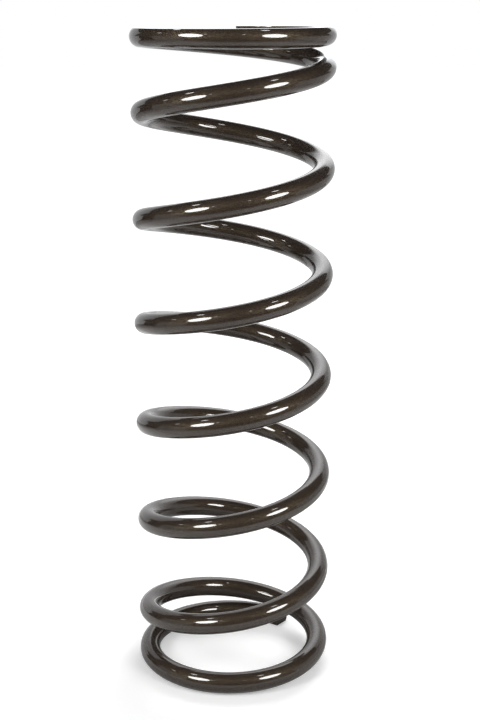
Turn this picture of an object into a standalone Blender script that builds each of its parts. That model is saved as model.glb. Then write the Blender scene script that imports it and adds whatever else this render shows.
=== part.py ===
"""Helical compression spring with closed and ground ends, standing upright.

Metres, +Z up. The origin is on the coil's axis, in the plane of the ground bottom end.
The wire climbs counter-clockwise seen from above, which is a right-hand helix.
"""

import math

import bmesh
import bpy

# Driving dimensions
FREE_LENGTH = 0.250
INSIDE_DIAMETER = 0.060
WIRE_DIAMETER = 0.008
WHOLE_TURNS = 8
BOTTOM_TIP_AZIMUTH = math.radians(52.5)
TOP_TIP_AZIMUTH = math.radians(88.0)

# Closed ends: turns that lie flat at each tip, then turns in which the coil opens to its pitch
BOTTOM_CLOSED_TURNS = 0.51
TOP_CLOSED_TURNS = 0.58
OPENING_TURNS = 1.80
COIL_CLEARANCE = 0.0003

# Depth of wire that grinding takes away at each tip
BOTTOM_GRIND = 0.0016
TOP_GRIND = 0.0047

# Mesh fineness
STEPS_PER_TURN = 36
WIRE_SIDES = 16
CUTTER_SIDES = 48
WELD_DISTANCE = 0.00001
SHARP_EDGE_ANGLE = math.radians(40)

# Finish: dark olive-bronze metallic powder coat
COAT_COLOUR = (0.052, 0.042, 0.030, 1.0)
COAT_METALLIC = 0.55
COAT_ROUGHNESS = 0.28

# Sizes that follow from those above
WIRE_RADIUS = WIRE_DIAMETER / 2
COIL_RADIUS = INSIDE_DIAMETER / 2 + WIRE_RADIUS
TURNS = WHOLE_TURNS + (TOP_TIP_AZIMUTH - BOTTOM_TIP_AZIMUTH) / math.tau
CLOSED_RISE = WIRE_DIAMETER + COIL_CLEARANCE
BOTTOM_TIP_HEIGHT = WIRE_RADIUS - BOTTOM_GRIND
TOP_TIP_HEIGHT = FREE_LENGTH - WIRE_RADIUS + TOP_GRIND
CUTTER_RADIUS = COIL_RADIUS + WIRE_DIAMETER
CUTTER_DEPTH = 2 * WIRE_DIAMETER


def opened_turns(turns, closed_turns):
    """Turns of full pitch that the coil has climbed, this many turns in from its tip.

    As the coil opens, its pitch is the full one times 1 - (1 - share) ** 3.
    """
    share = min(max((turns - closed_turns) / OPENING_TURNS, 0), 1)
    eased = share - (1 - (1 - share) ** 4) / 4
    beyond = max(turns - closed_turns - OPENING_TURNS, 0)
    return OPENING_TURNS * eased + beyond


def working_pitch():
    """Rise per turn of the open coils, from what the free length leaves past both closed turns."""
    rise = TOP_TIP_HEIGHT - BOTTOM_TIP_HEIGHT - 2 * CLOSED_RISE
    turns = sum(
        opened_turns(TURNS / 2, closed) - opened_turns(1, closed)
        for closed in (BOTTOM_CLOSED_TURNS, TOP_CLOSED_TURNS)
    )
    return rise / turns


def height_from_tip(turns, closed_turns, pitch):
    """Climb of the wire's centre from its tip. One turn in, the wire just clears the tip."""
    tip_climb = CLOSED_RISE - pitch * opened_turns(1, closed_turns)
    climbed = 1 - (1 - min(turns / closed_turns, 1)) ** 2
    return tip_climb * climbed + pitch * opened_turns(turns, closed_turns)


def wire_centre(turns, pitch):
    """Point of the wire's centre line, this many turns up from the bottom tip."""
    if turns < TURNS / 2:
        z = BOTTOM_TIP_HEIGHT + height_from_tip(turns, BOTTOM_CLOSED_TURNS, pitch)
    else:
        z = TOP_TIP_HEIGHT - height_from_tip(TURNS - turns, TOP_CLOSED_TURNS, pitch)
    azimuth = BOTTOM_TIP_AZIMUTH + math.tau * turns
    return COIL_RADIUS * math.cos(azimuth), COIL_RADIUS * math.sin(azimuth), z


def new_collection(name):
    collection = bpy.data.collections.new(name)
    bpy.context.scene.collection.children.link(collection)
    return collection


def powder_coat():
    material = bpy.data.materials.new("bronze_powder_coat")
    material.use_nodes = True
    shader = material.node_tree.nodes["Principled BSDF"]
    shader.inputs["Base Color"].default_value = COAT_COLOUR
    shader.inputs["Metallic"].default_value = COAT_METALLIC
    shader.inputs["Roughness"].default_value = COAT_ROUGHNESS
    return material


def coiled_wire(collection):
    """The round wire along the helix, as a curve with a circular bevel and flat caps."""
    curve = bpy.data.curves.new("wire_path", "CURVE")
    curve.dimensions = "3D"
    curve.twist_mode = "Z_UP"
    curve.bevel_depth = WIRE_RADIUS
    curve.bevel_resolution = WIRE_SIDES // 2 - 2
    curve.use_fill_caps = True
    steps = round(TURNS * STEPS_PER_TURN)
    pitch = working_pitch()
    spline = curve.splines.new("POLY")
    spline.points.add(steps)
    for step, point in enumerate(spline.points):
        point.co = (*wire_centre(TURNS * step / steps, pitch), 1)
    wire = bpy.data.objects.new("wire_path", curve)
    collection.objects.link(wire)
    return wire


def solid_from_curve(curve_object, name, collection):
    """A mesh object with the curve's evaluated shape, its caps welded on. The curve is removed."""
    graph = bpy.context.evaluated_depsgraph_get()
    mesh = bpy.data.meshes.new_from_object(curve_object.evaluated_get(graph))
    mesh.name = name
    shape = bmesh.new()
    shape.from_mesh(mesh)
    bmesh.ops.remove_doubles(shape, verts=shape.verts, dist=WELD_DISTANCE)
    shape.to_mesh(mesh)
    shape.free()
    solid = bpy.data.objects.new(name, mesh)
    solid.matrix_world = curve_object.matrix_world
    collection.objects.link(solid)
    bpy.data.objects.remove(curve_object)
    return solid


def grinding_cutter(name, height, collection):
    """A disc that takes away the wire over its whole depth, centred at this height."""
    shape = bmesh.new()
    bmesh.ops.create_cone(
        shape,
        cap_ends=True,
        segments=CUTTER_SIDES,
        radius1=CUTTER_RADIUS,
        radius2=CUTTER_RADIUS,
        depth=CUTTER_DEPTH,
    )
    mesh = bpy.data.meshes.new(name)
    shape.to_mesh(mesh)
    shape.free()
    cutter = bpy.data.objects.new(name, mesh)
    cutter.location.z = height
    cutter.hide_render = True
    cutter.display_type = "WIRE"
    collection.objects.link(cutter)
    return cutter


def grind(spring, cutter):
    cut = spring.modifiers.new(cutter.name, "BOOLEAN")
    cut.operation = "DIFFERENCE"
    cut.solver = "EXACT"
    cut.object = cutter


def main():
    for old in list(bpy.data.objects):
        bpy.data.objects.remove(old)
    parts = new_collection("helical_spring")
    cutters = new_collection("grinding_cutters")
    spring = solid_from_curve(coiled_wire(parts), "coil_spring", parts)
    grind(spring, grinding_cutter("bottom_grinding", -CUTTER_DEPTH / 2, cutters))
    grind(spring, grinding_cutter("top_grinding", FREE_LENGTH + CUTTER_DEPTH / 2, cutters))
    spring.data.materials.append(powder_coat())
    spring.data.shade_smooth()
    spring.data.set_sharp_from_angle(angle=SHARP_EDGE_ANGLE)


main()
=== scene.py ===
"""A powder-coated helical compression spring on a white board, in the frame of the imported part."""

import math

import bmesh
import bpy
from mathutils import Matrix, Vector


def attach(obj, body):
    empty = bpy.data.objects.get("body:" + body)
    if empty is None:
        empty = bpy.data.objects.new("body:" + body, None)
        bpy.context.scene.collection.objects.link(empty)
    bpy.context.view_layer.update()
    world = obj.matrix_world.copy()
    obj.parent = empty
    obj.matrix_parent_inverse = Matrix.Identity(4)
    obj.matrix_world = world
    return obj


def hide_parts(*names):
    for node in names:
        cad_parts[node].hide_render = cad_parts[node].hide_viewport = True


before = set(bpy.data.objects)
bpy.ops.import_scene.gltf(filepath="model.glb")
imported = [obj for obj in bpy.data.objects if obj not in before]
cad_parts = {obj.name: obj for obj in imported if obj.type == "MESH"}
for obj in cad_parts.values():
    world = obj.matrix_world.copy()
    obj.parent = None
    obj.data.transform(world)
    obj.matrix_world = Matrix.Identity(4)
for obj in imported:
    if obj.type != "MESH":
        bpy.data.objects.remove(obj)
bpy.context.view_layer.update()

# The spring's own sizes, in metres, as the part has them
FREE_LENGTH = 0.250
INSIDE_DIAMETER = 0.060
WIRE_DIAMETER = 0.008
WHOLE_TURNS = 8
BOTTOM_TIP_AZIMUTH = math.radians(52.5)
TOP_TIP_AZIMUTH = math.radians(88.0)
BOTTOM_CLOSED_TURNS = 0.51
TOP_CLOSED_TURNS = 0.58
OPENING_TURNS = 1.80
COIL_CLEARANCE = 0.0003
BOTTOM_GRIND = 0.0016
TOP_GRIND = 0.0047

# What follows from them
WIRE_RADIUS = WIRE_DIAMETER / 2
COIL_RADIUS = INSIDE_DIAMETER / 2 + WIRE_RADIUS
TURNS = WHOLE_TURNS + (TOP_TIP_AZIMUTH - BOTTOM_TIP_AZIMUTH) / math.tau
CLOSED_RISE = WIRE_DIAMETER + COIL_CLEARANCE
BOTTOM_TIP_HEIGHT = WIRE_RADIUS - BOTTOM_GRIND
TOP_TIP_HEIGHT = FREE_LENGTH - WIRE_RADIUS + TOP_GRIND

# The wire is spun in this many lengths. Then come the fineness of its mesh, the pitch that it is first
# wound at, and the small round of a coated ground edge.
LENGTHS = 16
STEPS_PER_LENGTH = 60
WIRE_SIDES = 48
EVEN_PITCH = FREE_LENGTH / TURNS
WELD_DISTANCE = 0.00001
CUT_TOLERANCE = 0.0000001
COATED_EDGE = 0.00035
EDGE_SEGMENTS = 3
SHARP_EDGE = math.radians(25)

# As it was wound, the last coil sags a little past its tip, and its ground face leans to the left and
# the front. The leans are the face's rise for each metre across.
SAG = 0.0011
SAG_TURNS = 0.88
SAG_SHIFT = 0.65
LEAN_LEFT = 0.006
LEAN_FRONT = 0.0045


def linear(hex_colour):
    """An sRGB hex value as linear RGBA."""
    channels = [int(hex_colour[i:i + 2], 16) / 255 for i in (1, 3, 5)]
    linear_channels = [c / 12.92 if c <= 0.04045 else ((c + 0.055) / 1.055) ** 2.4 for c in channels]
    return (*linear_channels, 1.0)


# Settings that many nodes share
SMOOTH = {"interpolation_type": "SMOOTHSTEP"}
TIMES = {"operation": "MULTIPLY"}
EITHER = {"operation": "MAXIMUM"}
FLOAT = {"data_type": "FLOAT"}


def add_node(tree, kind, settings=None, values=None, links=None):
    """One node with its settings, its socket values and the outputs that feed it."""
    node = tree.nodes.new(kind)
    for name, value in (settings or {}).items():
        setattr(node, name, value)
    for name, value in (values or {}).items():
        node.inputs[name].default_value = value
    for name, output in (links or {}).items():
        tree.links.new(output, node.inputs[name])
    return node


# The wire's path

def opened_turns(turns, closed_turns):
    """Turns of full pitch that the coil has climbed, this many turns in from its tip."""
    share = min(max((turns - closed_turns) / OPENING_TURNS, 0), 1)
    eased = share - (1 - (1 - share) ** 4) / 4
    return OPENING_TURNS * eased + max(turns - closed_turns - OPENING_TURNS, 0)


def working_pitch():
    rise = TOP_TIP_HEIGHT - BOTTOM_TIP_HEIGHT - 2 * CLOSED_RISE
    turns = sum(
        opened_turns(TURNS / 2, closed) - opened_turns(1, closed)
        for closed in (BOTTOM_CLOSED_TURNS, TOP_CLOSED_TURNS)
    )
    return rise / turns


def height_from_tip(turns, closed_turns, pitch):
    """Climb of the wire's centre from its tip."""
    tip_climb = CLOSED_RISE - pitch * opened_turns(1, closed_turns)
    climbed = 1 - (1 - min(turns / closed_turns, 1)) ** 2
    return tip_climb * climbed + pitch * opened_turns(turns, closed_turns)


def wire_height(turns, pitch):
    """Height of the wire's centre, this many turns up from the bottom tip."""
    if turns < TURNS / 2:
        return BOTTOM_TIP_HEIGHT + height_from_tip(turns, BOTTOM_CLOSED_TURNS, pitch)
    from_tip = max(TURNS - turns, 0)
    sag = SAG * math.sin(math.pi * min(from_tip / SAG_TURNS, 1) ** SAG_SHIFT) ** 2
    return TOP_TIP_HEIGHT - height_from_tip(from_tip, TOP_CLOSED_TURNS, pitch) - sag


# The coil

def steepness(turns, pitch):
    """How much taller than wide the round wire is where an upright plane cuts it."""
    step = 0.5 / STEPS_PER_LENGTH
    low, high = max(turns - step, 0), min(turns + step, TURNS)
    rise = wire_height(high, pitch) - wire_height(low, pitch)
    return math.hypot(1, rise / (math.tau * COIL_RADIUS * (high - low)))


def turns_at(vert):
    """How far along the evenly wound wire this vertex is, in turns from the bottom tip."""
    share = (math.atan2(vert.co.y, vert.co.x) - BOTTOM_TIP_AZIMUTH) / math.tau % 1
    return share + round(vert.co.z / EVEN_PITCH - share)


def wound_wire():
    """The round wire. Its section is spun to a length of half a turn, and that to the whole coil.

    It is wound at an even pitch. Each vertex then moves to the height that the closed ends give it.
    """
    shape = bmesh.new()
    standing = Matrix.Translation((COIL_RADIUS, 0, 0)) @ Matrix.Rotation(math.pi / 2, 4, "X")
    at_tip = Matrix.Rotation(BOTTOM_TIP_AZIMUTH, 4, "Z") @ standing
    section = bmesh.ops.create_circle(shape, segments=WIRE_SIDES, radius=WIRE_RADIUS)
    bmesh.ops.transform(shape, matrix=at_tip, verts=section["verts"])
    length = TURNS / LENGTHS
    centre = {"cent": (0, 0, 0), "axis": (0, 0, 1)}
    bmesh.ops.spin(
        shape,
        geom=shape.verts[:] + shape.edges[:],
        angle=math.tau * length,
        dvec=(0, 0, EVEN_PITCH * length / STEPS_PER_LENGTH),
        steps=STEPS_PER_LENGTH,
        **centre,
    )
    bmesh.ops.spin(
        shape,
        geom=shape.verts[:] + shape.edges[:] + shape.faces[:],
        use_duplicate=True,
        angle=math.tau * (TURNS - length),
        dvec=(0, 0, EVEN_PITCH * length),
        steps=LENGTHS - 1,
        **centre,
    )
    bmesh.ops.remove_doubles(shape, verts=shape.verts, dist=WELD_DISTANCE)
    pitch = working_pitch()
    for vert in shape.verts:
        turns = turns_at(vert)
        off_centre = vert.co.z - EVEN_PITCH * turns
        vert.co.z = wire_height(turns, pitch) + off_centre * steepness(turns, pitch)
    bmesh.ops.holes_fill(shape, edges=[edge for edge in shape.edges if edge.is_boundary])
    bmesh.ops.recalc_face_normals(shape, faces=shape.faces)
    return shape


def grind_end(shape, place, outward):
    """Cuts the wire flat in the plane through this place and closes the cut."""
    cut = bmesh.ops.bisect_plane(
        shape,
        geom=shape.verts[:] + shape.edges[:] + shape.faces[:],
        dist=CUT_TOLERANCE,
        plane_co=place,
        plane_no=outward,
        clear_outer=True,
    )
    rim = [part for part in cut["geom_cut"] if isinstance(part, bmesh.types.BMEdge)]
    bmesh.ops.contextual_create(shape, geom=rim)


def coat_edges(shape):
    """Rounds the ground and sheared edges as thickly as the coat lies on them."""
    sharp = [edge for edge in shape.edges if edge.is_manifold and edge.calc_face_angle() > SHARP_EDGE]
    bmesh.ops.bevel(
        shape,
        geom=sharp,
        offset=COATED_EDGE,
        affect="EDGES",
        segments=EDGE_SEGMENTS,
        profile=0.5,
        material=-1,
        clamp_overlap=True,
    )


def powder_coated_coil():
    shape = wound_wire()
    grind_end(shape, (0, 0, 0), (0, 0, -1))
    lean = Vector((LEAN_LEFT, LEAN_FRONT, 0))
    highest = (COIL_RADIUS + WIRE_RADIUS) * lean.normalized()
    grind_end(shape, (highest.x, highest.y, FREE_LENGTH), (-lean.x, -lean.y, 1))
    bmesh.ops.recalc_face_normals(shape, faces=shape.faces)
    coat_edges(shape)
    # The ground and sheared faces have many corners, and stay flat
    for face in shape.faces:
        face.smooth = len(face.verts) <= 4
    mesh = bpy.data.meshes.new("coil")
    shape.to_mesh(mesh)
    shape.free()
    coil = bpy.data.objects.new("coil", mesh)
    bpy.context.scene.collection.objects.link(coil)
    return coil


# The finish

# Flakes of bronze pigment are 0.05 to 0.1 mm across. They are drawn at their coarsest, to show.
FLAKE_SIZE = 0.0001
# Of the pattern's cells, the share below the first number is powder and the share past the second is
# flakes. Those between are flakes half sunk in the powder.
FLAKE_SHARE = (0.75, 0.85)
POWDER_COLOUR = "#342a27"
FLAKE_COLOUR = "#554e38"
POWDER_METALLIC = 0.3
# The melted powder levels into low waves about 5 mm long.
WAVE_LENGTH = 0.005


def bronze_powder_coat():
    """Metallic polyester powder coat, baked, under a clear top coat.

    The dark red-brown powder gives the body colour, olive-bronze flakes in it the soft glow around
    each highlight, and the clear coat the sharp reflections.
    """
    material = bpy.data.materials.new("bronze_metallic_powder_coat")
    material.use_nodes = True
    tree = material.node_tree
    shader = tree.nodes["Principled BSDF"]
    place = add_node(tree, "ShaderNodeTexCoord")
    flakes = add_node(
        tree, "ShaderNodeTexVoronoi", {"feature": "F1"},
        {"Scale": 1 / FLAKE_SIZE}, {"Vector": place.outputs["Object"]},
    )
    flake_tone = add_node(tree, "ShaderNodeSeparateColor", links={"Color": flakes.outputs["Color"]})
    pigment = add_node(tree, "ShaderNodeValToRGB", links={"Fac": flake_tone.outputs["Red"]})
    ramp = pigment.color_ramp
    for stop, share, colour in zip(ramp.elements, FLAKE_SHARE, (POWDER_COLOUR, FLAKE_COLOUR)):
        stop.position = share
        stop.color = linear(colour)
    metal = add_node(
        tree, "ShaderNodeMapRange", {},
        {
            "From Min": FLAKE_SHARE[0], "From Max": FLAKE_SHARE[1],
            "To Min": POWDER_METALLIC, "To Max": 1.0,
        },
        {"Value": flake_tone.outputs["Red"]},
    )
    waves = add_node(
        tree, "ShaderNodeTexNoise", {}, {"Scale": 1 / WAVE_LENGTH, "Detail": 1.0},
        {"Vector": place.outputs["Object"]},
    )
    flake_tilt = add_node(
        tree, "ShaderNodeBump", {}, {"Strength": 0.2, "Distance": 0.00003},
        {"Height": flake_tone.outputs["Green"]},
    )
    coat_waves = add_node(
        tree, "ShaderNodeBump", {}, {"Strength": 0.1, "Distance": 0.00001},
        {"Height": waves.outputs["Fac"]},
    )
    tree.links.new(pigment.outputs["Color"], shader.inputs["Base Color"])
    tree.links.new(flake_tilt.outputs["Normal"], shader.inputs["Normal"])
    tree.links.new(coat_waves.outputs["Normal"], shader.inputs["Coat Normal"])
    tree.links.new(metal.outputs["Result"], shader.inputs["Metallic"])
    shader.inputs["Roughness"].default_value = 0.55
    shader.inputs["IOR"].default_value = 1.5
    # The powder and the clear coat have nearly one index, so only the coat's own face mirrors
    shader.inputs["Specular IOR Level"].default_value = 0.0
    shader.inputs["Coat Weight"].default_value = 1.0
    shader.inputs["Coat Roughness"].default_value = 0.03
    shader.inputs["Coat IOR"].default_value = 1.55
    return material


coil = powder_coated_coil()
coil.data.materials.append(bronze_powder_coat())
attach(coil, "root")
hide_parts("coil_spring")


# The studio

def board(name, corners, material):
    """A flat sheet through four corners. It is part of the studio."""
    shape = bmesh.new()
    bmesh.ops.contextual_create(shape, geom=[shape.verts.new(corner) for corner in corners])
    mesh = bpy.data.meshes.new(name)
    shape.to_mesh(mesh)
    shape.free()
    sheet = bpy.data.objects.new(name, mesh)
    bpy.context.scene.collection.objects.link(sheet)
    sheet.data.materials.append(material)
    return sheet


def glow(name, strength, colour="#ffffff"):
    """Material of a sheet that shines evenly. Returns it with its tree and its light."""
    material = bpy.data.materials.new(name)
    material.use_nodes = True
    tree = material.node_tree
    tree.nodes.remove(tree.nodes["Principled BSDF"])
    light = add_node(tree, "ShaderNodeEmission", {}, {"Color": linear(colour), "Strength": strength})
    tree.links.new(light.outputs["Emission"], tree.nodes["Material Output"].inputs["Surface"])
    return material, tree, light


# The tent's side walls: x, both ends in y, the top, and how brightly the cloth shines.
# Their painted light fades out below their tops, over the height given after them.
WALLS = {
    "left": (-0.5, (-0.35, 0.06), 0.28, 0.45),
    "right": (0.5, (-0.17, 0.5), 0.29, 0.60),
}
WALL_TOP_FADE = 0.07


def soft_topped(name, strength, top):
    """Material of a side wall, its painted light fading towards its top."""
    material, tree, light = glow(name, strength)
    place = add_node(tree, "ShaderNodeTexCoord")
    height = add_node(tree, "ShaderNodeSeparateXYZ", links={"Vector": place.outputs["Object"]})
    # Painted fade of the wall's light towards its top
    top_fade = add_node(
        tree, "ShaderNodeMapRange", SMOOTH,
        {"From Min": top - WALL_TOP_FADE, "From Max": top, "To Min": strength, "To Max": 0},
        {"Value": height.outputs["Z"]},
    )
    tree.links.new(top_fade.outputs["Result"], light.inputs["Strength"])
    return material


def upright(x, ends, top):
    """Corners of a side wall on the floor, at this x, from one y to the other."""
    return [(x, ends[0], 0), (x, ends[1], 0), (x, ends[1], top), (x, ends[0], top)]


def only_in_reflections(thing):
    """Keeps a board or lamp out of every ray but the mirrored ones, so that no view is blocked."""
    thing.visible_camera = False
    thing.visible_diffuse = False
    thing.visible_shadow = False
    thing.visible_transmission = False


# The tent's back: white cloth with the glow of a lamp behind its top
CLOTH_COLOUR = "#fcfdff"
CLOTH_WHITE = 0.76
GLOW_WHITE = 2.35
GLOW_PLACE = (0.06, 0.362)
GLOW_REACH = (0.25, 0.195)
CLOTH_TOP = 0.395
# Below its top, the cloth's painted light fades over this height to this share of itself.
CLOTH_TOP_FADE = 0.03
TOP_FADE_TONE = 0.1
# It hangs this far behind the spring, and above its fold slopes forward. The corners are x and z.
CLOTH_DEPTH = 0.5
CLOTH_FOLD = 0.23
CLOTH_SLANT = 1.6
BACK_CORNERS = ((-0.75, 0), (0.75, 0), (0.75, CLOTH_FOLD), (-0.75, CLOTH_FOLD))
SLOPE_CORNERS = (
    (-0.5, CLOTH_FOLD), (0.5, CLOTH_FOLD), (0.5, 0.34), (0.27, 0.346), (0.2, 0.37),
    (0.12, CLOTH_TOP), (0, CLOTH_TOP), (-0.15, 0.385), (-0.5, 0.355),
)


def glowing_cloth():
    """Material of the tent's back, a painted glow, brightest where the lamp stands behind it and fading
    near its top.
    """
    material, tree, light = glow("tent_cloth", 1, CLOTH_COLOUR)
    place = add_node(tree, "ShaderNodeTexCoord")
    centred = add_node(
        tree, "ShaderNodeMapping", {"vector_type": "POINT"},
        {
            "Scale": (1 / GLOW_REACH[0], 0, 1 / GLOW_REACH[1]),
            "Location": (-GLOW_PLACE[0] / GLOW_REACH[0], 0, -GLOW_PLACE[1] / GLOW_REACH[1]),
        },
        {"Vector": place.outputs["Object"]},
    )
    spot = add_node(
        tree, "ShaderNodeTexGradient", {"gradient_type": "SPHERICAL"}, {},
        {"Vector": centred.outputs["Vector"]},
    )
    bright = add_node(
        tree, "ShaderNodeMath", {"operation": "MULTIPLY_ADD"}, {1: GLOW_WHITE, 2: CLOTH_WHITE},
        {0: spot.outputs["Fac"]},
    )
    height = add_node(tree, "ShaderNodeSeparateXYZ", links={"Vector": place.outputs["Object"]})
    # Painted fade of the cloth's light towards its top
    top_fade = add_node(
        tree, "ShaderNodeMapRange", SMOOTH,
        {"From Min": CLOTH_TOP - CLOTH_TOP_FADE, "From Max": CLOTH_TOP, "To Min": 1, "To Max": TOP_FADE_TONE},
        {"Value": height.outputs["Z"]},
    )
    strength = add_node(
        tree, "ShaderNodeMath", TIMES, {}, {0: bright.outputs["Value"], 1: top_fade.outputs["Result"]},
    )
    tree.links.new(strength.outputs["Value"], light.inputs["Strength"])
    return material


# The board's tone under the lamps. The camera sees the floor's own white on top of it, so the shadow
# under the spring still shows. Far off, where the lamps' light falls away, the floor's own white grows
# to a full one.
FLOOR_TONE = 0.82
FLOOR_OWN_WHITE = 0.33
FLOOR_FAR = (0.30, 0.60)
# Mirrored, its tone is painted: it fades where the light falls off towards the camera, ends past the
# tent's sides, is dimmer outside the pool of the front lamps' light, and holds a painted shadow close
# behind the spring, where its soft shadow falls.
FLOOR_UNLIT = 0.02
FLOOR_FRONT_FADE = (-0.37, -0.15)
FLOOR_END = (0.50, 0.58)
POOL_EDGE = (0.25, 0.42)
OUTSIDE_POOL = 0.68
SHADOW_PLACE = (0.03, 0.08, 0)
SHADOW_REACH = (0.02, 0.19)
SHADOW_TONE = 0.30


def floor_white():
    """Matt white board. Seen mirrored, its tone holds painted light and a painted shadow."""
    material = bpy.data.materials.new("matt_white_board_painted_light")
    material.use_nodes = True
    tree = material.node_tree
    tree.nodes.remove(tree.nodes["Principled BSDF"])
    ray = add_node(tree, "ShaderNodeLightPath")
    place = add_node(tree, "ShaderNodeTexCoord")
    across = add_node(tree, "ShaderNodeSeparateXYZ", links={"Vector": place.outputs["Object"]})
    # Painted fall of the mirrored light towards the camera and past the tent's sides
    front = add_node(
        tree, "ShaderNodeMapRange", SMOOTH,
        {
            "From Min": FLOOR_FRONT_FADE[0], "From Max": FLOOR_FRONT_FADE[1],
            "To Min": FLOOR_UNLIT, "To Max": 1,
        },
        {"Value": across.outputs["Y"]},
    )
    reach = add_node(
        tree, "ShaderNodeVectorMath", {"operation": "LENGTH"}, {}, {0: place.outputs["Object"]},
    )
    sideways = add_node(tree, "ShaderNodeMath", {"operation": "ABSOLUTE"}, {}, {0: across.outputs["X"]})
    end = add_node(
        tree, "ShaderNodeMapRange", SMOOTH,
        {"From Min": FLOOR_END[0], "From Max": FLOOR_END[1], "To Min": 1, "To Max": FLOOR_UNLIT},
        {"Value": sideways.outputs["Value"]},
    )
    # Painted shadow close behind the spring, seen only mirrored
    from_shadow = add_node(
        tree, "ShaderNodeVectorMath", {"operation": "DISTANCE"}, {1: SHADOW_PLACE},
        {0: place.outputs["Object"]},
    )
    shadow = add_node(
        tree, "ShaderNodeMapRange", SMOOTH,
        {"From Min": SHADOW_REACH[0], "From Max": SHADOW_REACH[1], "To Min": SHADOW_TONE, "To Max": 1},
        {"Value": from_shadow.outputs["Value"]},
    )
    # Painted pool of the front lamps' light, seen only mirrored
    pool = add_node(
        tree, "ShaderNodeMapRange", SMOOTH,
        {"From Min": POOL_EDGE[0], "From Max": POOL_EDGE[1], "To Min": 1.0, "To Max": OUTSIDE_POOL},
        {"Value": reach.outputs["Value"]},
    )
    fade = add_node(
        tree, "ShaderNodeMath", TIMES, {}, {0: front.outputs["Result"], 1: end.outputs["Result"]},
    )
    lit_there = add_node(
        tree, "ShaderNodeMath", TIMES, {}, {0: pool.outputs["Result"], 1: shadow.outputs["Result"]},
    )
    mirrored = add_node(
        tree, "ShaderNodeMath", TIMES, {}, {0: fade.outputs["Value"], 1: lit_there.outputs["Value"]},
    )
    tone = add_node(
        tree, "ShaderNodeMix", FLOAT, {"A": FLOOR_TONE},
        {"Factor": ray.outputs["Is Glossy Ray"], "B": mirrored.outputs["Value"]},
    )
    white = add_node(
        tree, "ShaderNodeCombineColor",
        links={name: tone.outputs["Result"] for name in ("Red", "Green", "Blue")},
    )
    own_white = add_node(
        tree, "ShaderNodeMapRange", SMOOTH,
        {"From Min": FLOOR_FAR[0], "From Max": FLOOR_FAR[1], "To Min": FLOOR_OWN_WHITE, "To Max": 1},
        {"Value": reach.outputs["Value"]},
    )
    seen = add_node(
        tree, "ShaderNodeMath", EITHER, {},
        {0: ray.outputs["Is Camera Ray"], 1: ray.outputs["Is Transmission Ray"]},
    )
    strength = add_node(
        tree, "ShaderNodeMath", TIMES, {}, {0: own_white.outputs["Result"], 1: seen.outputs["Value"]},
    )
    own = add_node(
        tree, "ShaderNodeEmission", {}, {"Color": linear("#ffffff")},
        {"Strength": strength.outputs["Value"]},
    )
    matt = add_node(tree, "ShaderNodeBsdfDiffuse", {}, {}, {"Color": white.outputs["Color"]})
    both = add_node(
        tree, "ShaderNodeAddShader", {}, {}, {0: matt.outputs["BSDF"], 1: own.outputs["Emission"]},
    )
    tree.links.new(both.outputs["Shader"], tree.nodes["Material Output"].inputs["Surface"])
    return material


# The floor lies this far under the spring, so that the ground face and the floor don't coincide
FLOOR_DROP = 0.00005
FLOOR_REACH = 6.0
floor_corners = [
    (x * FLOOR_REACH, y * FLOOR_REACH, -FLOOR_DROP) for x, y in ((-1, -1), (1, -1), (1, 1), (-1, 1))
]
board("floor", floor_corners, floor_white())

cloth = glowing_cloth()
back = [(x, CLOTH_DEPTH, z) for x, z in BACK_CORNERS]
slope = [(x, CLOTH_DEPTH - CLOTH_SLANT * (z - CLOTH_FOLD), z) for x, z in SLOPE_CORNERS]
only_in_reflections(board("tent_back", back, cloth))
only_in_reflections(board("tent_slope", slope, cloth))
for side, (x, ends, top, white) in WALLS.items():
    wall_cloth = soft_topped(f"{side}_cloth", white, top)
    only_in_reflections(board(f"{side}_wall", upright(x, ends, top), wall_cloth))


def round_lamp(name, place, aim, diameter, brightness):
    """A round soft lamp of this radiance, turned to the spring."""
    data = bpy.data.lights.new(name, "AREA")
    data.shape = "DISK"
    data.size = diameter
    data.energy = brightness * math.pi * math.pi * (diameter / 2) ** 2
    lamp = bpy.data.objects.new(name, data)
    lamp.location = place
    lamp.rotation_euler = (Vector(aim) - Vector(place)).to_track_quat("-Z", "Y").to_euler()
    bpy.context.scene.collection.objects.link(lamp)
    return lamp


# The lamps are turned to the coil's middle
MIDDLE = (0, 0, 0.13)
# Each front lamp is two: one that only the coat mirrors and, a little behind it, so that their discs
# don't coincide, one that lights. Each has a diameter and a brightness.
FRONT_LAMPS = {"left": (-0.31, -0.305, 0.33), "right": (0.30, -0.305, 0.33)}
GLARE = (0.215, 21.0)
LIGHT = (0.235, 9.0)
LIGHT_BEHIND = 1.1
for side, place in FRONT_LAMPS.items():
    only_in_reflections(round_lamp(f"{side}_lamp_glare", place, MIDDLE, *GLARE))
    lamp = round_lamp(f"{side}_lamp", [v * LIGHT_BEHIND for v in place], MIDDLE, *LIGHT)
    lamp.visible_glossy = False
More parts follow.
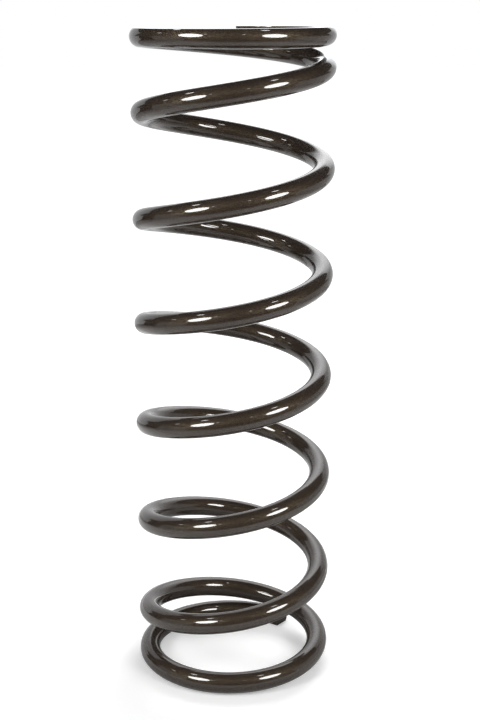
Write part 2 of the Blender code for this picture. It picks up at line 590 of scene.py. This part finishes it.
# Small far lights of the room that glint on the clear coat: azimuth, elevation, diameter and brightness
ROOM_LIGHTS = {
    "upper_left": (182, 58, 0.06, 15.0),
    "upper_right": (326, 66, 0.06, 15.0),
    "left": (182, 31, 0.06, 4.0),
    "front_left": (240, 35, 0.03, 10.0),
    "front_right": (282, 36, 0.03, 12.0),
}
ROOM_LIGHT_DISTANCE = 0.6
for side, (azimuth, elevation, diameter, brightness) in ROOM_LIGHTS.items():
    around = Matrix.Rotation(math.radians(azimuth), 3, "Z")
    up = Matrix.Rotation(-math.radians(elevation), 3, "Y")
    place = Vector(MIDDLE) + around @ up @ Vector((ROOM_LIGHT_DISTANCE, 0, 0))
    only_in_reflections(round_lamp(f"{side}_room_light", place, MIDDLE, diameter, brightness))
# What the lamp behind the cloth gives the floor and the wire
back_glow = round_lamp("back_glow", (0.10, 0.36, 0.36), MIDDLE, 0.3, 8.0)
back_glow.visible_glossy = False

# The room's own light on the spring, and how much of it the coat mirrors past the tent. The camera
# sees plain white, straight or through glass.
ROOM_WHITE = 0.28
MIRRORED_ROOM = 0.04
world = bpy.data.worlds.new("studio")
bpy.context.scene.world = world
world.use_nodes = True
sky = world.node_tree
ray = add_node(sky, "ShaderNodeLightPath")
background = sky.nodes["Background"]
room = add_node(
    sky, "ShaderNodeMix", FLOAT, {"A": ROOM_WHITE, "B": MIRRORED_ROOM},
    {"Factor": ray.outputs["Is Glossy Ray"]},
)
seen = add_node(
    sky, "ShaderNodeMath", EITHER, {},
    {0: ray.outputs["Is Camera Ray"], 1: ray.outputs["Is Transmission Ray"]},
)
strength = add_node(
    sky, "ShaderNodeMix", FLOAT, {"B": 1.0},
    {"Factor": seen.outputs["Value"], "A": room.outputs["Result"]},
)
background.inputs["Color"].default_value = (1, 1, 1, 1)
sky.links.new(strength.outputs["Result"], background.inputs["Strength"])


# The camera

# As fitted to the coil's outline in the photo. The sensor and the lens are in millimetres.
SENSOR_WIDTH = 36
LENS = 66.454
CAMERA_PLACE = (0.00058, -0.49930, 0.25462)
YAW, PITCH, ROLL = math.radians(0.232), math.radians(14.622), math.radians(0.054)

camera_data = bpy.data.cameras.new("camera")
camera_data.sensor_width = SENSOR_WIDTH
camera_data.lens = LENS
camera = bpy.data.objects.new("camera", camera_data)
bpy.context.scene.collection.objects.link(camera)
camera.matrix_world = (
    Matrix.Translation(CAMERA_PLACE)
    @ Matrix.Rotation(-YAW, 4, "Z")
    @ Matrix.Rotation(math.pi / 2 - PITCH, 4, "X")
    @ Matrix.Rotation(ROLL, 4, "Z")
)
bpy.context.scene.camera = camera
bpy.context.scene.view_settings.view_transform = "Standard"
